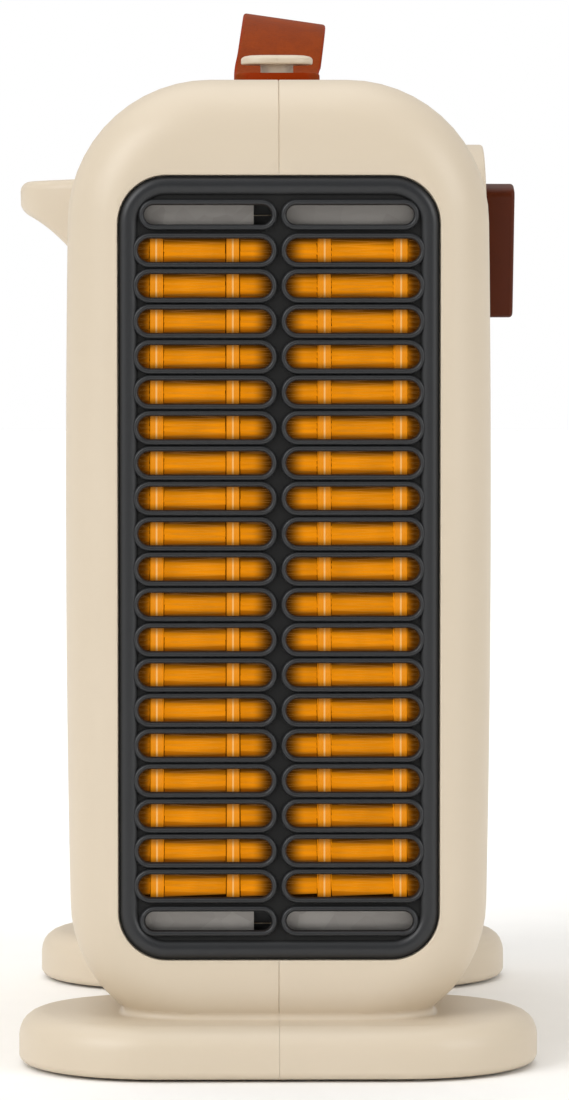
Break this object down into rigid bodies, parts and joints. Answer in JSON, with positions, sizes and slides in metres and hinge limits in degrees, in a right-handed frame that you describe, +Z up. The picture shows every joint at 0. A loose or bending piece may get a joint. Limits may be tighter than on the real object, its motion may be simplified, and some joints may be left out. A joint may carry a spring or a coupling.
{
  "type": "ceramic space heater",
  "caption": "Tall cream ceramic fan heater on two wide feet, with a slotted grille, an orange element, a side dial and a leather carrying strap.",
  "frame": {"origin": "middle of the heater at the level of the surface it stands on, on the seam plane of the two shells", "axes": "+X to the dial's side, +Y from the hot-air grille to the intake grille, +Z up"},
  "size_m": [0.1577, 0.2764, 0.3176],
  "materials": {
    "shell_plastic": "moulded ABS, cream, fine satin texture",
    "grille_plastic": "moulded heat-resistant plastic, black, satin gloss",
    "intake_plastic": "moulded plastic, black, matt",
    "grip_plastic": "moulded plastic, dark brown, satin",
    "strap_leather": "tan leather, cut edges",
    "galvanised_sheet": "galvanised sheet, dull",
    "bar_aluminium": "extruded tube, plain",
    "fin_aluminium": "corrugated ribbon, lit orange from within",
    "heat_plastic": "glass-filled plastic, black",
    "brass_plate": "pressed blade",
    "motor_steel": "laminated and zinc plated",
    "cast_aluminium": "die cast",
    "copper_wire": "enamelled copper winding",
    "black_rubber": "matt",
    "nylon_mesh": "woven nylon",
    "white_insulation": "white insulation"
  },
  "bodies": {
    "root": {"shell_left": "shell_plastic", "shell_right": "shell_plastic", "front_grille": "grille_plastic", "rear_grille": "intake_plastic", "strap_end_front": "strap_leather", "strap_end_rear": "strap_leather", "element_frame": "galvanised_sheet", "blower_wall_left": "galvanised_sheet", "blower_wall_right": "galvanised_sheet", "blower_plate_top": "galvanised_sheet", "blower_plate_bottom": "galvanised_sheet", "ptc_bar_1": "bar_aluminium", "ptc_bar_2": "bar_aluminium", "ptc_bar_3": "bar_aluminium", "ptc_bar_4": "bar_aluminium", "fin_strip_1": "fin_aluminium", "fin_strip_2": "fin_aluminium", "fin_strip_3": "fin_aluminium", "fin_strip_4": "fin_aluminium", "fin_strip_5": "fin_aluminium", "element_cap_top": "heat_plastic", "element_cap_bottom": "heat_plastic", "thermal_cutout": "heat_plastic", "tip_switch_housing": "heat_plastic", "element_terminal_1": "brass_plate", "element_terminal_2": "brass_plate", "motor_stator": "motor_steel", "motor_screw_1": "motor_steel", "motor_screw_2": "motor_steel", "tip_switch_pin": "motor_steel", "thermostat_screw_1": "motor_steel", "thermostat_screw_2": "motor_steel", "shell_screw_1": "motor_steel", "shell_screw_2": "motor_steel", "shell_screw_3": "motor_steel", "shell_screw_4": "motor_steel", "motor_bracket_upper": "cast_aluminium", "motor_bracket_lower": "cast_aluminium", "motor_coil": "copper_wire", "impeller_bearing": "black_rubber", "cord_gland": "black_rubber", "foot_pad_front_left": "black_rubber", "foot_pad_front_right": "black_rubber", "foot_pad_rear_left": "black_rubber", "foot_pad_rear_right": "black_rubber", "intake_filter": "nylon_mesh", "thermostat": "white_insulation", "thermal_fuse": "white_insulation", "terminal_block": "white_insulation", "live_lead": "white_insulation", "heater_lead": "white_insulation", "neutral_lead": "white_insulation"},
    "impeller_assembly": {"impeller": "heat_plastic", "impeller_shaft": "motor_steel", "motor_rotor": "cast_aluminium"},
    "dial": {"dial_grip": "grip_plastic", "dial_shaft": "brass_plate"},
    "tip_pendulum": {"tip_pendulum": "brass_plate"},
    "strap": {"strap_arch": "strap_leather"}
  },
  "joints": [
    {"name": "impeller_spin", "type": "hinge", "parent": "root", "child": "impeller_assembly", "pos_m": [-0.006, 0.03, 0.157], "axis": [0, 0, 1], "continuous": true},
    {"name": "dial_turn", "type": "hinge", "parent": "root", "child": "dial", "pos_m": [0.065, 0, 0.243], "axis": [-1, 0, 0], "range_deg": [0, 270]},
    {"name": "tip_switch_swing", "type": "hinge", "parent": "root", "child": "tip_pendulum", "pos_m": [0.043, 0.095, 0.06], "axis": [0, 1, 0], "range_deg": [-16, 16]},
    {"name": "strap_sway", "type": "hinge", "parent": "root", "child": "strap", "pos_m": [0, 0, 0.295], "axis": [0, 1, 0], "range_deg": [-26, 10]}
  ]
}
